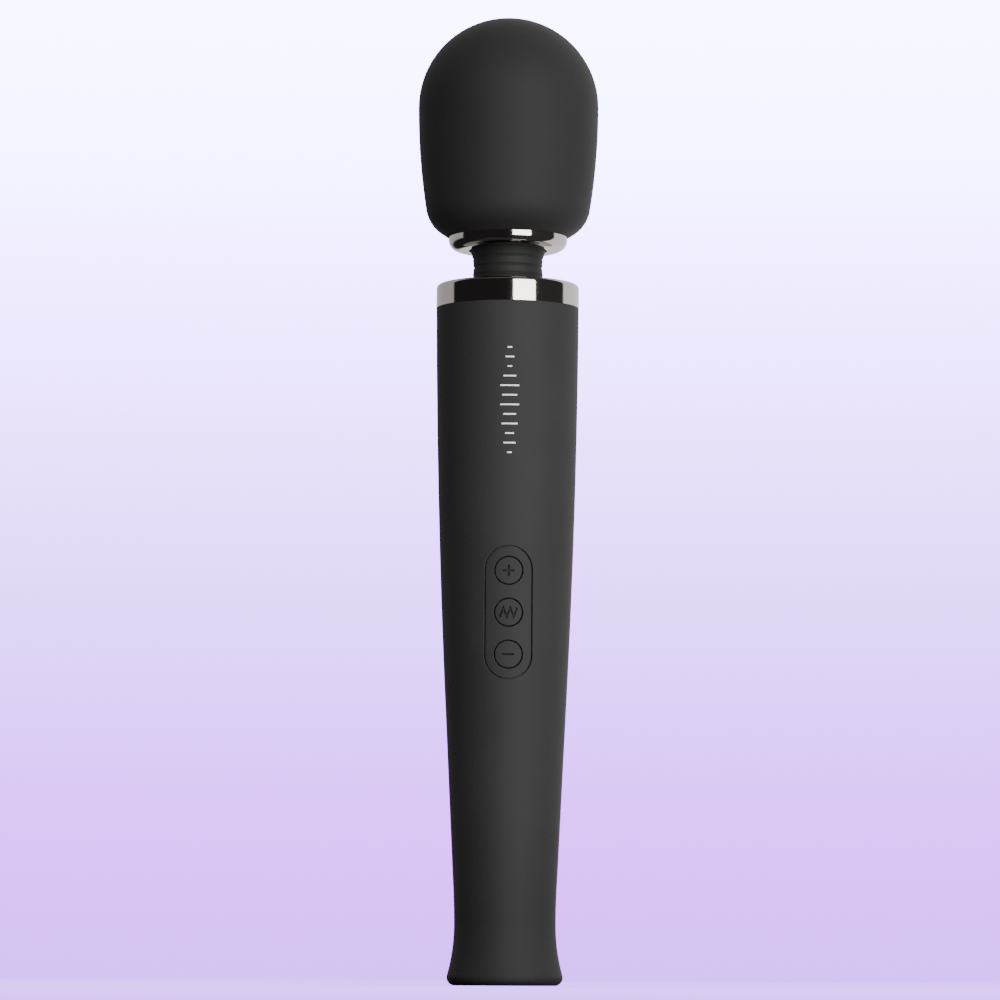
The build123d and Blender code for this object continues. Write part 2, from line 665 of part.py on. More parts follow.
with BuildPart() as motor_windings:
    with BuildSketch(Plane.XY.offset(STACK[0] - WINDING_OVERHANG)):
        with PolarLocations(SLOT_CIRCLE, POLES):
            SlotOverall(6.1, 4.1, rotation=90)
    extrude(amount=STACK[1] - STACK[0] + 2 * WINDING_OVERHANG)
    add(tube(WINDING_R, WINDING_HOLE_R, STACK[0] - WINDING_OVERHANG - 0.1, STACK[0] - FIT))
    add(tube(WINDING_R, WINDING_HOLE_R, STACK[1] + FIT, STACK[1] + WINDING_OVERHANG + 0.1))
save(motor_windings, "motor_windings")

with BuildPart() as motor_commutator:
    add(tube(COMMUTATOR_R, BORE, *COMMUTATOR_ZS))
    for turn in range(POLES):
        with BuildPart(mode=Mode.PRIVATE) as gap:
            half = COMMUTATOR_GAP / 2
            x_low, x_high = COMMUTATOR_R - 0.6, COMMUTATOR_R + 1
            radial_cut = slab(x_low, x_high, -half, half, COMMUTATOR_ZS[0], BRUSH_ZS[1] + 1)
            add(radial_cut.rotate(Axis.Z, 360 / POLES * turn))
        add(gap.part, mode=Mode.SUBTRACT)
save(motor_commutator, "motor_commutator")

LOWER_MOUNT_R = 19.5
UPPER_MOUNT_R = 20.6

with BuildPart() as motor_mount_lower:
    add(tube(LOWER_MOUNT_R, MOTOR_R + FIT, MOTOR_Z - FIT, MOTOR_Z + 9))
    add(tube(LOWER_MOUNT_R, 14.0, LOWER_SHELF[1] + FIT, MOTOR_Z - FIT))
save(motor_mount_lower, "motor_mount_lower")

with BuildPart() as motor_mount_upper:
    add(tube(UPPER_MOUNT_R, MOTOR_R + FIT, MOTOR_TOP - 7, MOTOR_TOP + FIT))
    add(tube(UPPER_MOUNT_R, 13.0, MOTOR_TOP + FIT, UPPER_SHELF[0] - FIT))
save(motor_mount_upper, "motor_mount_upper")

with BuildPart() as motor_leads:
    for x in (3.2, 6.4):
        add(wire(LEAD_R, 1.6, (x, LEAD_Y, 152), (x, LEAD_Y, 159.5),
                 (x, -6, 163.5), (x, -6, MOTOR_Z - FIT)))
save(motor_leads, "motor_leads")

# ---------------------------------------------------------------- neck
FLANGE_LOW = SHELL_RIM + FIT
FLANGE_HIGH = 242.4
FLANGE_HOLE_R = 6.4
SLEEVE_LOW = FLANGE_HIGH + FIT
SLEEVE_FLANGE_TOP = COLLAR_TOP - COLLAR_PLATE - FIT
RING_PLATE_TOP = RING_BOTTOM + 1.2
SLEEVE_HIGH = 261.5
COLLAR_IN = GRIP_TOP_R - SHELL_OUT + FIT

with BuildPart() as collar_ring:
    add(tube(GRIP_TOP_R, 0, GRIP_TOP + FIT, COLLAR_TOP))
    fillet(collar_ring.edges().group_by(Axis.Z)[-1], radius=1.5)
    add(tube(COLLAR_IN, 0, GRIP_TOP, COLLAR_TOP - COLLAR_PLATE), mode=Mode.SUBTRACT)
    add(tube(COLLAR_HOLE_R, 0, GRIP_TOP, COLLAR_TOP + 1), mode=Mode.SUBTRACT)
save(collar_ring, "collar_ring")

with BuildPart() as neck_flange_lower:
    add(tube(COLLAR_IN - 0.1, FLANGE_HOLE_R, FLANGE_LOW, FLANGE_HIGH))
    add(posts(SCREW_R + 0.15, NECK_SCREW_CIRCLE, FLANGE_LOW, FLANGE_HIGH), mode=Mode.SUBTRACT)
save(neck_flange_lower, "neck_flange_lower")

with BuildPart() as neck_screws:
    add(posts(SCREW_R, NECK_SCREW_CIRCLE, NECK_BOSS_Z + 1.5, SLEEVE_LOW))
    add(posts(2.2, NECK_SCREW_CIRCLE, SLEEVE_LOW, SLEEVE_LOW + 1.7))
    add(posts(0.9, NECK_SCREW_CIRCLE, SLEEVE_LOW + 0.7, SLEEVE_LOW + 3), mode=Mode.SUBTRACT)
save(neck_screws, "neck_screws")

RIB_PITCH = 3.15
RIB_GROOVE_ZS = [(COLLAR_TOP + RING_BOTTOM) / 2 + i * RIB_PITCH for i in (-1, 0, 1)]
RIB_GROOVE_HALF = 0.55
RIB_GROOVE_DEPTH = 0.3


def neck_radius(z):
    """Radius of the sleeve's hollow waist at height z, on the arc through its ends and its waist."""
    low, high, waist = COLLAR_TOP, RING_BOTTOM, NECK_WAIST_R
    half, sag = (high - low) / 2, NECK_END_R - waist
    arc = (half**2 + sag**2) / (2 * sag)
    return waist + arc - (arc**2 - (z - (low + high) / 2) ** 2) ** 0.5


with BuildPart() as neck_sleeve:
    with BuildSketch(Plane.XZ):
        with BuildLine():
            middle = (COLLAR_TOP + RING_BOTTOM) / 2
            inner_end = NECK_END_R - SLEEVE_WALL
            inner_waist = NECK_WAIST_R - SLEEVE_WALL
            Polyline((inner_end, SLEEVE_LOW), (SLEEVE_FLANGE_R, SLEEVE_LOW),
                     (SLEEVE_FLANGE_R, SLEEVE_FLANGE_TOP), (NECK_END_R, SLEEVE_FLANGE_TOP),
                     (NECK_END_R, COLLAR_TOP))
            ThreePointArc((NECK_END_R, COLLAR_TOP), (NECK_WAIST_R, middle), (NECK_END_R, RING_BOTTOM))
            Polyline((NECK_END_R, RING_BOTTOM), (NECK_END_R, RING_PLATE_TOP + FIT),
                     (SLEEVE_FLANGE_R, RING_PLATE_TOP + FIT), (SLEEVE_FLANGE_R, SLEEVE_HIGH),
                     (inner_end, SLEEVE_HIGH))
            ThreePointArc((inner_end, SLEEVE_HIGH), (inner_waist, middle), (inner_end, SLEEVE_LOW))
        make_face()
        for z in RIB_GROOVE_ZS:
            surface = neck_radius(z)
            with BuildLine():
                Polyline((surface + 0.5, z - RIB_GROOVE_HALF), (surface - RIB_GROOVE_DEPTH, z),
                         (surface + 0.5, z + RIB_GROOVE_HALF), close=True)
            make_face(mode=Mode.SUBTRACT)
    revolve(axis=Axis.Z)
save(neck_sleeve, "neck_sleeve")

NECK_SPRING_R = 8.9
NECK_SPRING_WIRE = 0.8

with BuildPart() as neck_spring:
    add(coil(NECK_SPRING_R, NECK_SPRING_WIRE, 2.8, FLANGE_HIGH + NECK_SPRING_WIRE + FIT,
             SLEEVE_HIGH - NECK_SPRING_WIRE))
save(neck_spring, "neck_spring")

GUIDE_Z = (250.3, 253.7)

with BuildPart() as spring_guide:
    add(tube(6.5, 4.8, *GUIDE_Z))
    fillet(spring_guide.edges(), radius=0.5)
save(spring_guide, "spring_guide")

SPIGOT_R = 2.6
DRIVE_SPRING_R = 3.6
DRIVE_SPRING_WIRE = 0.7
HUB_LOWER = (228.0, 232.0, 246.0)
HUB_UPPER = (255.9, 260.6, 266.3)

with BuildPart() as coupling_hub_lower:
    add(tube(6.0, 0, HUB_LOWER[0], HUB_LOWER[1]))
    add(tube(SPIGOT_R, 0, HUB_LOWER[1], HUB_LOWER[2]))
    add(tube(BORE, 0, HUB_LOWER[0], SHAFT_HIGH + FIT), mode=Mode.SUBTRACT)
save(coupling_hub_lower, "coupling_hub_lower")

with BuildPart() as drive_spring:
    add(coil(DRIVE_SPRING_R, DRIVE_SPRING_WIRE, 2.0, HUB_LOWER[1] + DRIVE_SPRING_WIRE + 0.3,
             HUB_UPPER[1] - DRIVE_SPRING_WIRE - 0.3))
save(drive_spring, "drive_spring")

# ---------------------------------------------------------------- head
CUP_SCREW_CIRCLE = 19.5
BRIDGE_Z = 304.0
FOOT_TOP = 265.5
SKIRT_IN = 17.2
RING_LIP_Z = HEAD_LIP_Z - FIT

cup_outer = head_form(CUP_OUT)
cup_inner = head_form(CUP_OUT + CUP_WALL)

with BuildPart() as head_cover:
    add(head_form(0))
    add(head_form(COVER), mode=Mode.SUBTRACT)
    add(tube(CUP_FOOT_R + 0.1, 0, HEAD_LIP_Z - 1, HEAD_LIP_Z + COVER + 1), mode=Mode.SUBTRACT)
save(head_cover, "head_cover")

with BuildPart() as head_ring:
    with BuildSketch(Plane.XZ):
        with BuildLine():
            corner_top = (RING_R, RING_BOTTOM + RING_CORNER)
            corner_end = (RING_R - RING_CORNER, RING_BOTTOM)
            Polyline((CUP_FOOT_R + FIT, RING_LIP_Z), (RING_R, RING_LIP_Z), corner_top)
            RadiusArc(corner_top, corner_end, RING_CORNER)
            Polyline(corner_end, (RING_HOLE_R, RING_BOTTOM), (RING_HOLE_R, RING_PLATE_TOP),
                     (CUP_FOOT_R + FIT, RING_PLATE_TOP), (CUP_FOOT_R + FIT, RING_LIP_Z))
        make_face()
    revolve(axis=Axis.Z)
save(head_ring, "head_ring")

with BuildPart() as neck_flange_upper:
    add(tube(SKIRT_IN - FIT, FLANGE_HOLE_R, SLEEVE_HIGH + FIT, CUP_FOOT_Z - FIT))
save(neck_flange_upper, "neck_flange_upper")

with BuildPart() as head_base:
    add(cup_outer)
    add(tube(35, 0, CUP_SPLIT_Z - FIT / 2, HEAD_TOP), mode=Mode.SUBTRACT)
    add(cup_inner, mode=Mode.SUBTRACT)
    add(tube(CUP_FOOT_R, SKIRT_IN, RING_PLATE_TOP + FIT, CUP_FOOT_Z))
    add(tube(CUP_FOOT_R, 0, CUP_FOOT_Z, FOOT_TOP))
    add(tube(CUP_FOOT_R, 16.5, FOOT_TOP, HEAD_LIP_Z + 6))
    add(tube(16.5, 0, FOOT_TOP, HEAD_LIP_Z + 6), mode=Mode.SUBTRACT)
    add(tube(12.0, 0, FOOT_TOP, BEARING_ZS[0] + BEARING_WIDTH / 2))
    add(tube(BEARING_R + FIT, 0, BEARING_ZS[0] - BEARING_WIDTH / 2, BEARING_ZS[0] + 4), mode=Mode.SUBTRACT)
    add(tube(FLANGE_HOLE_R, 0, CUP_FOOT_Z - 1, BEARING_ZS[0]), mode=Mode.SUBTRACT)
    add(posts(3.2, CUP_SCREW_CIRCLE, HEAD_LIP_Z + 6, BRIDGE_Z))
    add(posts(SCREW_R + FIT, CUP_SCREW_CIRCLE, BRIDGE_Z - 12, BRIDGE_Z), mode=Mode.SUBTRACT)
save(head_base, "head_base")

with BuildPart() as head_dome:
    add(cup_outer)
    add(cup_inner, mode=Mode.SUBTRACT)
    add(tube(35, 0, HEAD_LIP_Z, CUP_SPLIT_Z + FIT / 2), mode=Mode.SUBTRACT)
save(head_dome, "head_dome")

BRIDGE_TOP = BRIDGE_Z + 2.5

with BuildPart() as bearing_bridge:
    add(tube(24.5, 0, BRIDGE_Z + FIT, BRIDGE_TOP))
    add(tube(12.0, 0, BRIDGE_TOP, BEARING_ZS[1] + BEARING_WIDTH / 2))
    add(tube(BEARING_R + FIT, 0, BEARING_ZS[1] - BEARING_WIDTH / 2, BEARING_ZS[1] + 4), mode=Mode.SUBTRACT)
    add(tube(FLANGE_HOLE_R, 0, BRIDGE_Z, BEARING_ZS[1]), mode=Mode.SUBTRACT)
    add(posts(SCREW_R + 0.15, CUP_SCREW_CIRCLE, BRIDGE_Z, BRIDGE_TOP), mode=Mode.SUBTRACT)
save(bearing_bridge, "bearing_bridge")

with BuildPart() as head_screws:
    add(posts(SCREW_R, CUP_SCREW_CIRCLE, BRIDGE_Z - 11, BRIDGE_TOP + FIT))
    add(posts(2.3, CUP_SCREW_CIRCLE, BRIDGE_TOP + FIT, BRIDGE_TOP + 1.9))
    add(posts(0.9, CUP_SCREW_CIRCLE, BRIDGE_TOP + 0.9, BRIDGE_TOP + 3), mode=Mode.SUBTRACT)
save(head_screws, "head_screws")

# ---------------------------------------------------------------- eccentric drive in the head
RACE_OUT_IN = 7.1
RACE_IN_OUT = 5.4
CLIP_Z = (313.5, 314.1)
AXLE_LOW = 262.0
AXLE_HIGH = 315.2


def ball_groove(z):
    """The ring-shaped space the balls run in."""
    with BuildPart() as piece:
        with BuildSketch(Plane.XZ):
            with Locations((BALL_CIRCLE_R, z)):
                Circle(BALL_R)
        revolve(axis=Axis.Z)
    return piece.part


with BuildPart() as bearing_outer_races:
    for z in BEARING_ZS:
        low, high = z - BEARING_WIDTH / 2 + FIT, z + BEARING_WIDTH / 2
        add(tube(BEARING_R, RACE_OUT_IN, low, high))
        add(ball_groove(z), mode=Mode.SUBTRACT)
save(bearing_outer_races, "bearing_outer_races")

with BuildPart() as bearing_inner_races:
    for z in BEARING_ZS:
        low, high = z - BEARING_WIDTH / 2 + FIT, z + BEARING_WIDTH / 2
        add(tube(RACE_IN_OUT, AXLE_R + FIT, low, high))
        add(ball_groove(z), mode=Mode.SUBTRACT)
save(bearing_inner_races, "bearing_inner_races")

with BuildPart() as bearing_balls:
    for z in BEARING_ZS:
        with Locations((0, 0, z)):
            with PolarLocations(BALL_CIRCLE_R, BALL_COUNT):
                Sphere(BALL_R - FIT)
save(bearing_balls, "bearing_balls")

with BuildPart() as eccentric_shaft:
    add(tube(AXLE_R, 0, AXLE_LOW, AXLE_HIGH))
    chamfer(eccentric_shaft.edges(), length=0.4)
    add(tube(AXLE_R + 1, 2.5, CLIP_Z[0] - FIT, CLIP_Z[1] + FIT), mode=Mode.SUBTRACT)
save(eccentric_shaft, "eccentric_shaft")

with BuildPart() as shaft_clip:
    add(tube(4.6, 2.55, *CLIP_Z))
    add(slab(0, 6, -1.1, 1.1, *CLIP_Z), mode=Mode.SUBTRACT)
save(shaft_clip, "shaft_clip")

with BuildPart() as eccentric_weight:
    with BuildSketch(Plane.XY.offset(WEIGHT_LOW)):
        Circle(WEIGHT_R)
        with Locations((0, -WEIGHT_R)):
            Rectangle(2 * WEIGHT_R, 2 * WEIGHT_R, mode=Mode.SUBTRACT)
        Circle(5.5)
        Circle(AXLE_R + FIT, mode=Mode.SUBTRACT)
    extrude(amount=WEIGHT_HEIGHT)
save(eccentric_weight, "eccentric_weight")

with BuildPart() as coupling_hub_upper:
    add(tube(SPIGOT_R, 0, HUB_UPPER[0], HUB_UPPER[1]))
    add(tube(5.6, 0, HUB_UPPER[1], HUB_UPPER[2]))
    add(tube(AXLE_R + FIT, 0, AXLE_LOW - FIT, HUB_UPPER[2]), mode=Mode.SUBTRACT)
save(coupling_hub_upper, "coupling_hub_upper")
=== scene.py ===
"""Looks of the handheld wand massager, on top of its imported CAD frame. Metres, +Z up, buttons facing -Y."""

import json
import math

import bmesh
import bpy
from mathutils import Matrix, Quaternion, Vector


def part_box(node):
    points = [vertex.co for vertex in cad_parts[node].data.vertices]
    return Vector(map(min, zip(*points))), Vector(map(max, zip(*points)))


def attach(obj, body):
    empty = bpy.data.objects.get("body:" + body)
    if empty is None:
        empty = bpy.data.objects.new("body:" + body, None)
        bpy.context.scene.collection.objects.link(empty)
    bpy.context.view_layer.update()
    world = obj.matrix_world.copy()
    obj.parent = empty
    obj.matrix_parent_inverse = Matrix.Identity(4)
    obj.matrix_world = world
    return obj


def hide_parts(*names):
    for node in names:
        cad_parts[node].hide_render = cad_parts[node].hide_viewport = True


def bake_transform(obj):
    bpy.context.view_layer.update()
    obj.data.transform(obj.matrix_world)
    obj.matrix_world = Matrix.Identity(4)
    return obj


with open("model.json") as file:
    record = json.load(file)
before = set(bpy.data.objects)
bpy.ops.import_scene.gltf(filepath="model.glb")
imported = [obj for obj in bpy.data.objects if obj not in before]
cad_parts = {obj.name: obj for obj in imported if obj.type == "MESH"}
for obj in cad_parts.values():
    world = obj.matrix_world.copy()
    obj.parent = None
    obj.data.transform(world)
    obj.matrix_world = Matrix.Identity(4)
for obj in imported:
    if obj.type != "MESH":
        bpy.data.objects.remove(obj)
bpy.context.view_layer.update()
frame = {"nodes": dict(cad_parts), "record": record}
nodes = frame["nodes"]
MM = 0.001

# ---------------------------------------------------------------- material helpers
# Sizes of the noise in cycles per metre: blotches of tint and gloss, and the finer lines on metal
MATTE_BLOTCHES = 28
METAL_BLOTCHES = 45
METAL_LINES = 1800
NOISE_ROUGHNESS = 0.5
# Octaves of the noise
BLOTCH_DETAIL = 4
GRAIN_DETAIL = 2
LINE_DETAIL = 3
# Where on the noise the two ends of a tint lie
TINT_LOW = 0.3
TINT_HIGH = 0.7
METAL_SHADE = 0.92
SHEEN_ROUGHNESS = 0.4
# Painted shade in grooves: how open a groove is, and the share of the light left there
PAINTED_SHADE_CLOSED = (0.45, 0.04)
PAINTED_SHADE_OPEN = (0.93, 1.0)
PAINTED_SHADE_SAMPLES = 12


def new_material(name):
    """A node material; returns it with its node tree and its principled shader."""
    mat = bpy.data.materials.new(name)
    mat.use_nodes = True
    tree = mat.node_tree
    return mat, tree, tree.nodes["Principled BSDF"]


def node(tree, kind, settings=None, **inputs):
    """Adds a shader node; settings are its properties, inputs its sockets' values or what feeds them."""
    made = tree.nodes.new(kind)
    for key, value in (settings or {}).items():
        setattr(made, key, value)
    for key, value in inputs.items():
        socket = made.inputs[key]
        if isinstance(value, bpy.types.NodeSocket):
            tree.links.new(value, socket)
        else:
            socket.default_value = value
    return made


def ramp(tree, factor, *stops):
    """A colour ramp through (position, grey or colour) stops."""
    made = tree.nodes.new("ShaderNodeValToRGB")
    tree.links.new(factor, made.inputs["Fac"])
    elements = made.color_ramp.elements
    for i, (position, colour) in enumerate(stops):
        if i >= 2:
            elements.new(position)
        elements[i].position = position
        elements[i].color = (*colour, 1) if isinstance(colour, tuple) else (colour, colour, colour, 1)
    return made.outputs["Color"]


def noise(tree, scale, detail, stretch=None):
    """Noise in object space; scale is in cycles per metre."""
    place = node(tree, "ShaderNodeTexCoord").outputs["Object"]
    if stretch:
        place = node(tree, "ShaderNodeMapping", Vector=place, Scale=stretch).outputs["Vector"]
    made = node(tree, "ShaderNodeTexNoise", Vector=place, Scale=scale, Detail=detail)
    made.inputs["Roughness"].default_value = NOISE_ROUGHNESS
    return made.outputs["Fac"]


def spread(tree, factor, low, high):
    """Maps 0..1 to low..high."""
    made = node(tree, "ShaderNodeMapRange", Value=factor)
    made.inputs["To Min"].default_value = low
    made.inputs["To Max"].default_value = high
    return made.outputs["Result"]


def bump(tree, height, distance):
    """The surface's normal, tipped by a height map that is distance deep, in metres."""
    return node(tree, "ShaderNodeBump", Height=height, Distance=distance, Strength=1.0).outputs["Normal"]


def matte(
    name, colour, rough, grain=0.00003, grain_scale=3000, sheen=0.0, mottle=0.12, specular=0.5, painted_shade_width=0.0
):
    """Moulded rubber, silicone or plastic: fine grain, faint mottling and uneven roughness.

    With a cavity width in metres, painted shade darkens the colour and the gloss inside grooves narrower than
    that.
    """
    mat, tree, shader = new_material(name)
    broad = noise(tree, MATTE_BLOTCHES, BLOTCH_DETAIL)
    fine = noise(tree, grain_scale, GRAIN_DETAIL)
    dark = tuple(c * (1 - mottle) for c in colour)
    light = tuple(c * (1 + mottle) for c in colour)
    body = ramp(tree, broad, (TINT_LOW, dark), (TINT_HIGH, light))
    tree.links.new(spread(tree, broad, *rough), shader.inputs["Roughness"])
    tree.links.new(bump(tree, fine, grain), shader.inputs["Normal"])
    shader.inputs["Sheen Weight"].default_value = sheen
    shader.inputs["Sheen Roughness"].default_value = SHEEN_ROUGHNESS
    shader.inputs["Specular IOR Level"].default_value = specular
    # Painted shade: ambient occlusion darkens the colour and the gloss in narrow grooves
    if painted_shade_width:
        painted_shade_ao = node(tree, "ShaderNodeAmbientOcclusion", {"samples": PAINTED_SHADE_SAMPLES}, Distance=painted_shade_width)
        lit = ramp(tree, painted_shade_ao.outputs["AO"], PAINTED_SHADE_CLOSED, PAINTED_SHADE_OPEN)
        dimmed = node(tree, "ShaderNodeVectorMath", {"operation": "MULTIPLY"}, Vector=body)
        tree.links.new(lit, dimmed.inputs[1])
        body = dimmed.outputs["Vector"]
        gloss = node(tree, "ShaderNodeMath", {"operation": "MULTIPLY"}, Value=lit)
        gloss.inputs[1].default_value = specular
        tree.links.new(gloss.outputs["Value"], shader.inputs["Specular IOR Level"])
    tree.links.new(body, shader.inputs["Base Color"])
    return mat


def metal(name, colour, rough, brush=None, grain=0.000005):
    """Metal with uneven roughness and, if brush is given, fine lines along that stretch."""
    mat, tree, shader = new_material(name)
    broad = noise(tree, METAL_BLOTCHES, BLOTCH_DETAIL)
    shade = tuple(c * METAL_SHADE for c in colour)
    tree.links.new(ramp(tree, broad, (TINT_LOW, shade), (TINT_HIGH, colour)), shader.inputs["Base Color"])
    tree.links.new(spread(tree, broad, *rough), shader.inputs["Roughness"])
    fine = noise(tree, METAL_LINES, LINE_DETAIL, stretch=brush)
    tree.links.new(bump(tree, fine, grain), shader.inputs["Normal"])
    shader.inputs["Metallic"].default_value = 1.0
    return mat


def paint(mat, name):
    """Gives a CAD node this material on every slot."""
    for slot in nodes[name].material_slots:
        slot.material = mat


# ---------------------------------------------------------------- materials
BLACK = (0.018, 0.0182, 0.019)
silicone_grip = matte("silicone_grip", BLACK, rough=(0.7, 0.78), sheen=0.02, specular=0.3)
silicone_head = matte("silicone_head", (0.0145, 0.0147, 0.0153), rough=(0.7, 0.78), sheen=0.02, specular=0.26)
rubber_neck = matte("rubber_neck", (0.011, 0.0122, 0.0118), rough=(0.62, 0.72), sheen=0.01, specular=0.25)
keypad_black = matte("keypad_black", BLACK, rough=(0.7, 0.78), sheen=0.02, specular=0.3)
# The buttons get painted shade in their gaps and engraved signs
button_black = matte("button_black", BLACK, rough=(0.68, 0.76), sheen=0.02, specular=0.3, painted_shade_width=0.001)
foot_black = matte("foot_black", (0.02, 0.02, 0.021), rough=(0.42, 0.55), grain=0.00005, grain_scale=1800)
shell_plastic = matte("shell_plastic", (0.05, 0.05, 0.055), rough=(0.35, 0.5))
cup_plastic = matte("cup_plastic", (0.55, 0.55, 0.53), rough=(0.35, 0.5))
jack_black = matte("jack_black", (0.02, 0.02, 0.02), rough=(0.3, 0.42))
key_white = matte("key_white", (0.7, 0.7, 0.68), rough=(0.35, 0.45))
cell_wrap = matte("cell_wrap", (0.05, 0.16, 0.4), rough=(0.25, 0.4))
seal_rubber = matte("seal_rubber", (0.2, 0.2, 0.21), rough=(0.55, 0.7))
lead_red = matte("lead_red", (0.5, 0.03, 0.02), rough=(0.35, 0.45))
board_green = matte("board_green", (0.01, 0.12, 0.04), rough=(0.25, 0.4))
carbon = matte("carbon", (0.03, 0.03, 0.03), rough=(0.55, 0.7))
magnet_black = matte("magnet_black", (0.07, 0.07, 0.075), rough=(0.5, 0.65))
print_white = matte("print_white", (0.8, 0.8, 0.79), rough=(0.45, 0.6), mottle=0.04)
dark_chrome = metal("dark_chrome", (0.46, 0.435, 0.43), rough=(0.05, 0.09), grain=0.000001)
zinc_steel = metal("zinc_steel", (0.6, 0.6, 0.62), rough=(0.25, 0.4))
spring_steel = metal("spring_steel", (0.42, 0.42, 0.44), rough=(0.25, 0.4))
ground_steel = metal("ground_steel", (0.66, 0.66, 0.68), rough=(0.12, 0.22), brush=(1, 1, 40))
weight_steel = metal("weight_steel", (0.5, 0.5, 0.5), rough=(0.25, 0.4), brush=(1, 1, 30))
can_steel = metal("can_steel", (0.6, 0.6, 0.62), rough=(0.2, 0.35))
lamination_steel = metal("lamination_steel", (0.33, 0.33, 0.35), rough=(0.35, 0.5), brush=(1, 1, 60))
brass = metal("brass", (0.75, 0.55, 0.26), rough=(0.18, 0.3), brush=(1, 1, 40))
copper = metal("copper", (0.75, 0.36, 0.2), rough=(0.22, 0.35), brush=(1, 1, 30))

by_slot = {
    "grip_silicone": silicone_grip, "head_silicone": silicone_head, "neck_rubber": rubber_neck,
    "dark_chrome": dark_chrome, "keypad_black": keypad_black, "button_black": button_black,
    "foot_black": foot_black, "shell_plastic": shell_plastic, "cup_plastic": cup_plastic,
    "zinc_steel": zinc_steel, "spring_steel": spring_steel, "ground_steel": ground_steel,
    "weight_steel": weight_steel, "can_steel": can_steel, "lamination_steel": lamination_steel,
    "brass": brass, "copper": copper, "magnet_black": magnet_black, "carbon": carbon,
    "jack_black": jack_black, "board_green": board_green, "key_white": key_white,
    "cell_wrap": cell_wrap, "seal_rubber": seal_rubber, "lead_red": lead_red,
}
for entry in frame["record"]["subparts"]:
    paint(by_slot[entry["material_slot"]], entry["node"])

# ---------------------------------------------------------------- turned pieces in mesh
ON_AXIS = 1e-6
SHARP_ANGLE = math.radians(50)


def arc(centre, radius, start, end, steps):
    """Points of a circular arc in a half section, angles in degrees from +r towards +z."""
    turn = [math.radians(start + (end - start) * i / steps) for i in range(steps + 1)]
    return [(centre[0] + radius * math.cos(t), centre[1] + radius * math.sin(t)) for t in turn]


def arc_through(start, lean, end, steps):
    """Points of the arc that leaves start at lean (degrees from +r towards +z) and reaches end."""
    dx, dz = end[0] - start[0], end[1] - start[1]
    chord = math.hypot(dx, dz)
    half = math.atan2(dz, dx) - math.radians(lean)
    half = (half + math.pi) % (2 * math.pi) - math.pi
    points = []
    for i in range(steps + 1):
        part = half * i / steps
        reach = chord * math.sin(part) / math.sin(half)
        heading = math.radians(lean) + part
        points.append((start[0] + reach * math.cos(heading), start[1] + reach * math.sin(heading)))
    return points


def turned_mesh(name, outline, material, segments):
    """A smooth closed piece turned about the axis from a closed half outline in millimetres."""
    form = bmesh.new()
    rings = []
    for r, z in outline:
        if r < ON_AXIS:
            rings.append([form.verts.new((0, 0, z * MM))])
            continue
        turn = [2 * math.pi * k / segments for k in range(segments)]
        rings.append([form.verts.new((r * MM * math.cos(t), r * MM * math.sin(t), z * MM)) for t in turn])
    closed = len(rings[0]) > 1 or len(rings[-1]) > 1
    pairs = list(zip(rings, rings[1:] + rings[:1])) if closed else list(zip(rings, rings[1:]))
    for low, high in pairs:
        for k in range(segments):
            n = (k + 1) % segments
            corners = [low[k % len(low)], low[n % len(low)], high[n % len(high)], high[k % len(high)]]
            unique = list(dict.fromkeys(corners))
            if len(unique) > 2:
                form.faces.new(unique)
    bmesh.ops.recalc_face_normals(form, faces=form.faces)
    mesh = bpy.data.meshes.new(name)
    form.to_mesh(mesh)
    form.free()
    mesh.materials.append(material)
    mesh.shade_smooth()
    mesh.set_sharp_from_angle(angle=SHARP_ANGLE)
    piece = bpy.data.objects.new(name, mesh)
    bpy.context.collection.objects.link(piece)
    return piece


# ---------------------------------------------------------------- head cover: egg-shaped silicone sock
# Radii and heights in millimetres
cover_low, cover_high = (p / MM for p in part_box("head_cover"))
HEAD_R = cover_high.x
TOP = cover_high.z
LIP = cover_low.z
COVER = 3.0
SIDE_END = (29.05, 273.6)
CORNER_END = (24.0, 265.6)
HOLE_R = 19.0
# The rounded lip: its middle radius, its size, and points on it in lip sizes outward and upward
LIP_R = 21.2
LIP_ROUND = 0.5
LIP_POINTS = ((0.79, 0.62), (0.15, 0.16))
LIP_FLAT_START = 0.6
LIP_LIFT = 0.01
OUTSIDE_STEPS = 48
INSIDE_STEPS = 24
COVER_SEGMENTS = 224


def inset(point, lean, depth):
    """The point moved inward square to a surface leaning by lean degrees."""
    return (point[0] - depth * math.cos(math.radians(lean)), point[1] + depth * math.sin(math.radians(lean)))


def cover_side(depth, steps):
    """Dome, side and corner of the cover, set in by depth, from the crown down."""
    side_lean = 2 * math.degrees(math.atan2(HEAD_R - SIDE_END[0], TOP - HEAD_R - SIDE_END[1]))
    slope = 2 * math.degrees(math.atan2(SIDE_END[0] - CORNER_END[0], SIDE_END[1] - CORNER_END[1])) - side_lean
    dome = arc((0, TOP - HEAD_R), HEAD_R - depth, 90, 0, steps)
    dome[0] = (0, dome[0][1])
    side = arc_through(dome[-1], -90, inset(SIDE_END, side_lean, depth), steps // 2)
    corner = arc_through(side[-1], -90 - side_lean, inset(CORNER_END, slope, depth), steps // 2)
    return dome + side[1:] + corner[1:]


outside = cover_side(0, OUTSIDE_STEPS)
inside = cover_side(COVER, INSIDE_STEPS)
lip = [(LIP_R + LIP_ROUND * outward, LIP + LIP_ROUND * up) for outward, up in LIP_POINTS]
flat = [(LIP_R - LIP_ROUND * LIP_FLAT_START, LIP + LIP_LIFT), (HOLE_R, LIP + LIP_LIFT), (HOLE_R, LIP + COVER)]
outline = outside + lip + flat + inside[::-1]
head_cover = turned_mesh("head_cover_silicone", outline, silicone_head, COVER_SEGMENTS)
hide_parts("head_cover")
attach(head_cover, "head")

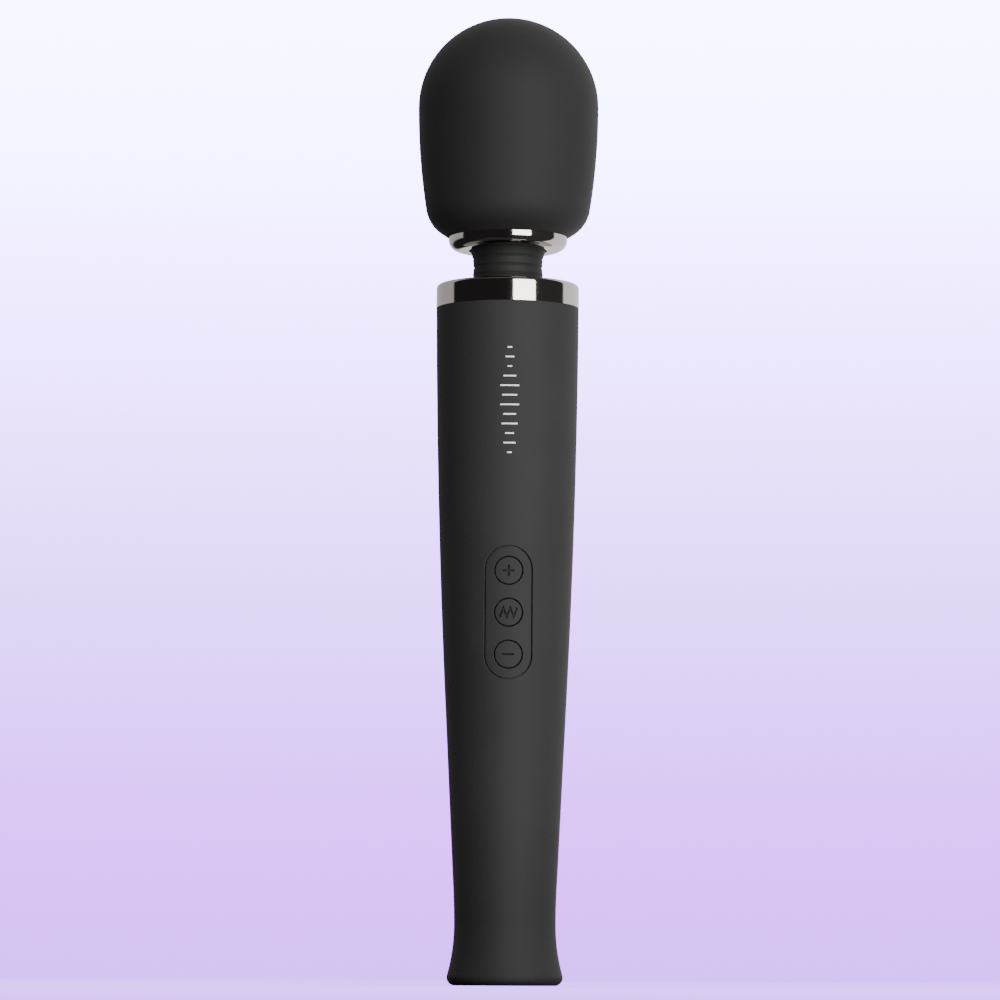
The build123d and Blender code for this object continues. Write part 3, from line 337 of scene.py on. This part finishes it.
# ---------------------------------------------------------------- neck: ribbed rubber hourglass in two halves
sleeve_low, sleeve_high = (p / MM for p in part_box("neck_sleeve"))
NECK_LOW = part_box("collar_ring")[1].z / MM
NECK_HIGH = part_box("head_ring")[0].z / MM
NECK_MID = (NECK_LOW + NECK_HIGH) / 2
NECK_HALF = (NECK_HIGH - NECK_LOW) / 2
NECK_END_R = 13.3
NECK_WAIST_R = 12.2
NECK_SAG = NECK_END_R - NECK_WAIST_R
NECK_ARC_R = (NECK_HALF**2 + NECK_SAG**2) / (2 * NECK_SAG)
SLEEVE_WALL = 1.9
FLANGE_R = sleeve_high.x
COLLAR_UNDER = NECK_LOW - 2.05
RING_OVER = NECK_HIGH + 1.25
RIB_PITCH = 3.15
RIB_DEPTH = 0.3
RIB_HALF = 0.6
RIBBED_HALF = 1.5 * RIB_PITCH
NECK_STEPS = 60
NECK_SEGMENTS = 128


def neck_radius(z):
    """Radius on the arc through the sleeve's ends and its waist."""
    off = min(abs(z - NECK_MID), NECK_HALF)
    return NECK_WAIST_R + NECK_ARC_R - math.sqrt(NECK_ARC_R**2 - off**2)


def ribbed(z):
    """Outer radius with a soft groove at every rib pitch, counted from the middle."""
    near = (z - NECK_MID + RIB_PITCH / 2) % RIB_PITCH - RIB_PITCH / 2
    if abs(z - NECK_MID) > RIBBED_HALF or abs(near) > RIB_HALF:
        return neck_radius(z)
    return neck_radius(z) - RIB_DEPTH * math.cos(near / RIB_HALF * math.pi / 2) ** 2


def neck_half(name, low, high):
    """The part of the sleeve between two heights, with its clamped flange at the far end."""
    zs = [low + (high - low) * i / NECK_STEPS for i in range(NECK_STEPS + 1)]
    outer = [(ribbed(z), z) for z in zs]
    inner = [(neck_radius(z) - SLEEVE_WALL, z) for z in zs]
    if low == NECK_LOW:
        flange = [(inner[0][0], sleeve_low.z), (FLANGE_R, sleeve_low.z), (FLANGE_R, COLLAR_UNDER),
                  (outer[0][0], COLLAR_UNDER)]
        outline = flange + outer + inner[::-1]
    else:
        flange = [(outer[-1][0], RING_OVER), (FLANGE_R, RING_OVER), (FLANGE_R, sleeve_high.z),
                  (inner[-1][0], sleeve_high.z)]
        outline = outer + flange + inner[::-1]
    return turned_mesh(name, outline, rubber_neck, NECK_SEGMENTS)


neck_lower = neck_half("neck_sleeve_lower", NECK_LOW, NECK_MID)
neck_upper = neck_half("neck_sleeve_upper", NECK_MID, NECK_HIGH)
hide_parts("neck_sleeve")
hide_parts("neck_sleeve")
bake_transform(neck_lower)
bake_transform(neck_upper)

# ---------------------------------------------------------------- printed mark: a pulse of thin white bars
PRINT_TOP = 221.7
PRINT_PITCH = 3.35
PRINT_STROKE = 0.5
PRINT_LIFT = 0.03
BAR_LENGTHS = (1.6, 3.0, 1.6, 4.4, 6.6, 5.2, 6.6, 4.4, 5.6, 3.0, 4.2, 1.6)
FEWEST_CUTS = 4
CUTS_PER_MM = 2
AHEAD_OF_GRIP = -0.06
grip = nodes["grip_skin"]


def on_grip(x, z):
    """The front of the grip's skin at (x, z), found on the CAD mesh."""
    _, place, _, _ = grip.ray_cast(Vector((x * MM, AHEAD_OF_GRIP, z * MM)), Vector((0, 1, 0)))
    return place.y


form = bmesh.new()
for i, length in enumerate(BAR_LENGTHS):
    middle = PRINT_TOP - i * PRINT_PITCH
    cuts = max(FEWEST_CUTS, int(length * CUTS_PER_MM))
    xs = [-length / 2 + length * k / cuts for k in range(cuts + 1)]
    rows = []
    for z in (middle - PRINT_STROKE / 2, middle + PRINT_STROKE / 2):
        for lift in (-PRINT_LIFT, PRINT_LIFT):
            rows.append([form.verts.new((x * MM, on_grip(x, z) + lift * MM, z * MM)) for x in xs])
    f0, b0, f1, b1 = rows
    for k in range(cuts):
        form.faces.new((f0[k], f0[k + 1], f1[k + 1], f1[k]))
        form.faces.new((b0[k], b1[k], b1[k + 1], b0[k + 1]))
        form.faces.new((f0[k], b0[k], b0[k + 1], f0[k + 1]))
        form.faces.new((f1[k], f1[k + 1], b1[k + 1], b1[k]))
    form.faces.new((f0[0], f1[0], b1[0], b0[0]))
    form.faces.new((f0[-1], b0[-1], b1[-1], f1[-1]))
bmesh.ops.recalc_face_normals(form, faces=form.faces)
mesh = bpy.data.meshes.new("printed_pulse_mark")
form.to_mesh(mesh)
form.free()
mesh.materials.append(print_white)
print_mark = bpy.data.objects.new("printed_pulse_mark", mesh)
bpy.context.collection.objects.link(print_mark)
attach(print_mark, "handle")

# ---------------------------------------------------------------- stage: floor, world, lights, camera
BOUNCE_HALF = 0.22
BOUNCE_DROP = 0.001
BOUNCE_GREY = (0.06, 0.058, 0.06, 1)
FLOOR_HALF = 1.2
FLOOR_COLOUR = (0.3, 0.26, 0.34, 1)
# The seen floor fades out between these distances, and a painted shadow darkens it this near to what stands
# on it
FADE_START = 0.25
FADE_END = 1.1
PAINTED_SHADOW_WIDTH = 0.06
PAINTED_SHADOW_SAMPLES = 8
PAINTED_SHADOW_GLOW = 0.25
OPEN_GLOW = 0.95
LAVENDER = (1.9, 0.62, 4.4)
# The backdrop's colours from the horizon up
SKY = (
    (0.0, (1.87, 0.487, 4.4)),
    (0.12, (2.26, 0.54, 5.23)),
    (0.35, (2.9, 1.2, 6.44)),
    (0.58, (3.9, 2.03, 8.2)),
    (0.8, (5.8, 3.68, 12.5)),
    (1.0, (8.35, 8.02, 19.0)),
)
SKY_SPAN = (-0.0125, 0.2)
# The studio's walls as the wand sees them: how bright each one is, and between which directions it starts
WALL_COLOUR = (1.0, 0.955, 0.93, 1)
LEFT_GLOW = 0.7
RIGHT_GLOW = 1.5
FRONT_GLOW = 0.025
FRONT_RIGHT_GLOW = 0.035
TOP_GLOW = 0.2
BACK_SPAN = (0.13, 0.21)
ACROSS_SPAN = (-0.3, 0.3)
BELOW_SPAN = (-0.3, -0.1)
MIDDLE_SPAN = (-0.05, 0.05)
FRONT_RIGHT_SPAN = (-0.1, 0.3)
OVERHEAD_SPAN = (0.75, 0.98)
KEY_AZIMUTH = 25.1
KEY_RADIANCE = 10.5
FILL_AZIMUTH = 10
FILL_RADIANCE = 0.9


def stage_plane(name, size, material, seen_by_camera):
    """A square floor sheet; one is what the camera sees and the other is what the light bounces off."""
    mesh = bpy.data.meshes.new(name)
    form = bmesh.new()
    bmesh.ops.create_grid(form, x_segments=1, y_segments=1, size=size)
    form.to_mesh(mesh)
    form.free()
    mesh.materials.append(material)
    sheet = bpy.data.objects.new(name, mesh)
    bpy.context.collection.objects.link(sheet)
    sheet.location.z = 0 if seen_by_camera else -BOUNCE_DROP
    sheet.visible_camera = seen_by_camera
    if seen_by_camera:
        sheet.visible_diffuse = sheet.visible_glossy = sheet.visible_shadow = False


mat, tree, shader = new_material("floor_bounce")
shader.inputs["Base Color"].default_value = BOUNCE_GREY
shader.inputs["Roughness"].default_value = 1.0
shader.inputs["Specular IOR Level"].default_value = 0.0
stage_plane("floor_bounce", BOUNCE_HALF, mat, False)

mat, tree, shader = new_material("floor_seen")
place = node(tree, "ShaderNodeTexCoord").outputs["Object"]
reach = node(tree, "ShaderNodeVectorMath", {"operation": "LENGTH"}, Vector=place)
# Painted shadow: ambient occlusion dims the floor's glow next to what stands on it
painted_shade_ao = node(tree, "ShaderNodeAmbientOcclusion", {"samples": PAINTED_SHADOW_SAMPLES}, Distance=PAINTED_SHADOW_WIDTH)
shader.inputs["Base Color"].default_value = FLOOR_COLOUR
shader.inputs["Roughness"].default_value = 0.9
shader.inputs["Specular IOR Level"].default_value = 0.0
shader.inputs["Emission Color"].default_value = (*LAVENDER, 1)
glow_with_painted_shadow = spread(tree, painted_shade_ao.outputs["AO"], PAINTED_SHADOW_GLOW, OPEN_GLOW)
tree.links.new(glow_with_painted_shadow, shader.inputs["Emission Strength"])
clear = node(tree, "ShaderNodeBsdfTransparent")
fade = node(tree, "ShaderNodeMapRange", {"interpolation_type": "SMOOTHSTEP"}, Value=reach.outputs["Value"])
fade.inputs["From Min"].default_value = FADE_START
fade.inputs["From Max"].default_value = FADE_END
mix = node(tree, "ShaderNodeMixShader", Fac=fade.outputs["Result"])
tree.links.new(shader.outputs["BSDF"], mix.inputs[1])
tree.links.new(clear.outputs["BSDF"], mix.inputs[2])
tree.links.new(mix.outputs["Shader"], tree.nodes["Material Output"].inputs["Surface"])
stage_plane("floor_seen", FLOOR_HALF, mat, True)

world = bpy.data.worlds.new("studio")
bpy.context.scene.world = world
world.use_nodes = True
tree = world.node_tree
seen = tree.nodes["Background"]
facing = node(tree, "ShaderNodeSeparateXYZ", Vector=node(tree, "ShaderNodeTexCoord").outputs["Generated"])


def smooth(value, low, high, to_low=0.0, to_high=1.0):
    """Eases from to_low to to_high as value goes from low to high, in the world's node tree."""
    made = node(tree, "ShaderNodeMapRange", {"interpolation_type": "SMOOTHSTEP"}, Value=value)
    for key, setting in (("From Min", low), ("From Max", high), ("To Min", to_low), ("To Max", to_high)):
        made.inputs[key].default_value = setting
    return made.outputs["Result"]


def calc(kind, a, b):
    """One arithmetic step between sockets or numbers, in the world's node tree."""
    made = node(tree, "ShaderNodeMath", {"operation": kind})
    for i, value in enumerate((a, b)):
        if isinstance(value, bpy.types.NodeSocket):
            tree.links.new(value, made.inputs[i])
        else:
            made.inputs[i].default_value = value
    return made.outputs["Value"]


right, back, up = (facing.outputs[axis] for axis in "XYZ")
tree.links.new(ramp(tree, smooth(up, *SKY_SPAN), *SKY), seen.inputs["Color"])
back_side = smooth(back, *BACK_SPAN)
right_share = smooth(right, *ACROSS_SPAN, LEFT_GLOW, RIGHT_GLOW)
not_low_left = calc("MAXIMUM", smooth(up, *BELOW_SPAN), smooth(right, *MIDDLE_SPAN))
walls = calc("MULTIPLY", calc("MULTIPLY", back_side, right_share), not_low_left)
front_right = calc("MULTIPLY", smooth(right, *FRONT_RIGHT_SPAN), FRONT_RIGHT_GLOW)
overhead = calc("MULTIPLY", smooth(up, *OVERHEAD_SPAN), TOP_GLOW)
total = calc("ADD", calc("ADD", walls, front_right), calc("ADD", overhead, FRONT_GLOW))
studio = node(tree, "ShaderNodeBackground", Strength=total)
studio.inputs["Color"].default_value = WALL_COLOUR
pick = node(tree, "ShaderNodeMixShader", Fac=node(tree, "ShaderNodeLightPath").outputs["Is Camera Ray"])
tree.links.new(studio.outputs["Background"], pick.inputs[1])
tree.links.new(seen.outputs["Background"], pick.inputs[2])
tree.links.new(pick.outputs["Shader"], tree.nodes["World Output"].inputs["Surface"])


def softbox(name, azimuth, radiance, distance, centre_z, width, height, colour):
    """A rectangular area light facing the wand, azimuth in degrees from the front towards the right."""
    data = bpy.data.lights.new(name, "AREA")
    data.shape = "RECTANGLE"
    data.size, data.size_y = width, height
    data.energy = radiance * math.pi * width * height
    data.color = colour
    lamp = bpy.data.objects.new(name, data)
    bpy.context.collection.objects.link(lamp)
    turn = math.radians(azimuth)
    lamp.location = (distance * math.sin(turn), -distance * math.cos(turn), centre_z)
    aim = Vector((0, 0, centre_z)) - lamp.location
    lamp.rotation_euler = aim.to_track_quat("-Z", "Y").to_euler()
    lamp.visible_camera = False
    return lamp


softbox(
    "key_softbox", KEY_AZIMUTH, KEY_RADIANCE,
    distance=1.5, centre_z=0.45, width=0.98, height=1.5, colour=(1.0, 0.975, 0.95),
)
fill = softbox(
    "fill_softbox", FILL_AZIMUTH, FILL_RADIANCE,
    distance=1.6, centre_z=0.25, width=1.6, height=1.6, colour=(0.96, 0.98, 1.0),
)
fill.visible_glossy = False

CAMERA_DISTANCE = 1.75
CAMERA_TURN = math.radians(-1.9)
CAMERA_HEIGHT = 0.006
AIM_X = -0.0024
AIM_Z = 0.17043
SENSOR = 36
LENS = 179.45
ROLL = math.radians(0.27)
camera_data = bpy.data.cameras.new("camera")
camera_data.sensor_width = SENSOR
camera_data.lens = LENS
camera = bpy.data.objects.new("camera", camera_data)
bpy.context.collection.objects.link(camera)
sideways = Vector((math.cos(CAMERA_TURN), math.sin(CAMERA_TURN), 0)) * AIM_X
ahead = Vector((-math.sin(CAMERA_TURN), math.cos(CAMERA_TURN), 0)) * CAMERA_DISTANCE
camera.location = sideways - ahead + Vector((0, 0, CAMERA_HEIGHT))
aim = sideways + Vector((0, 0, AIM_Z)) - camera.location
camera.rotation_euler = (aim.to_track_quat("-Z", "Y") @ Quaternion((0, 0, 1), ROLL)).to_euler()
bpy.context.scene.camera = camera
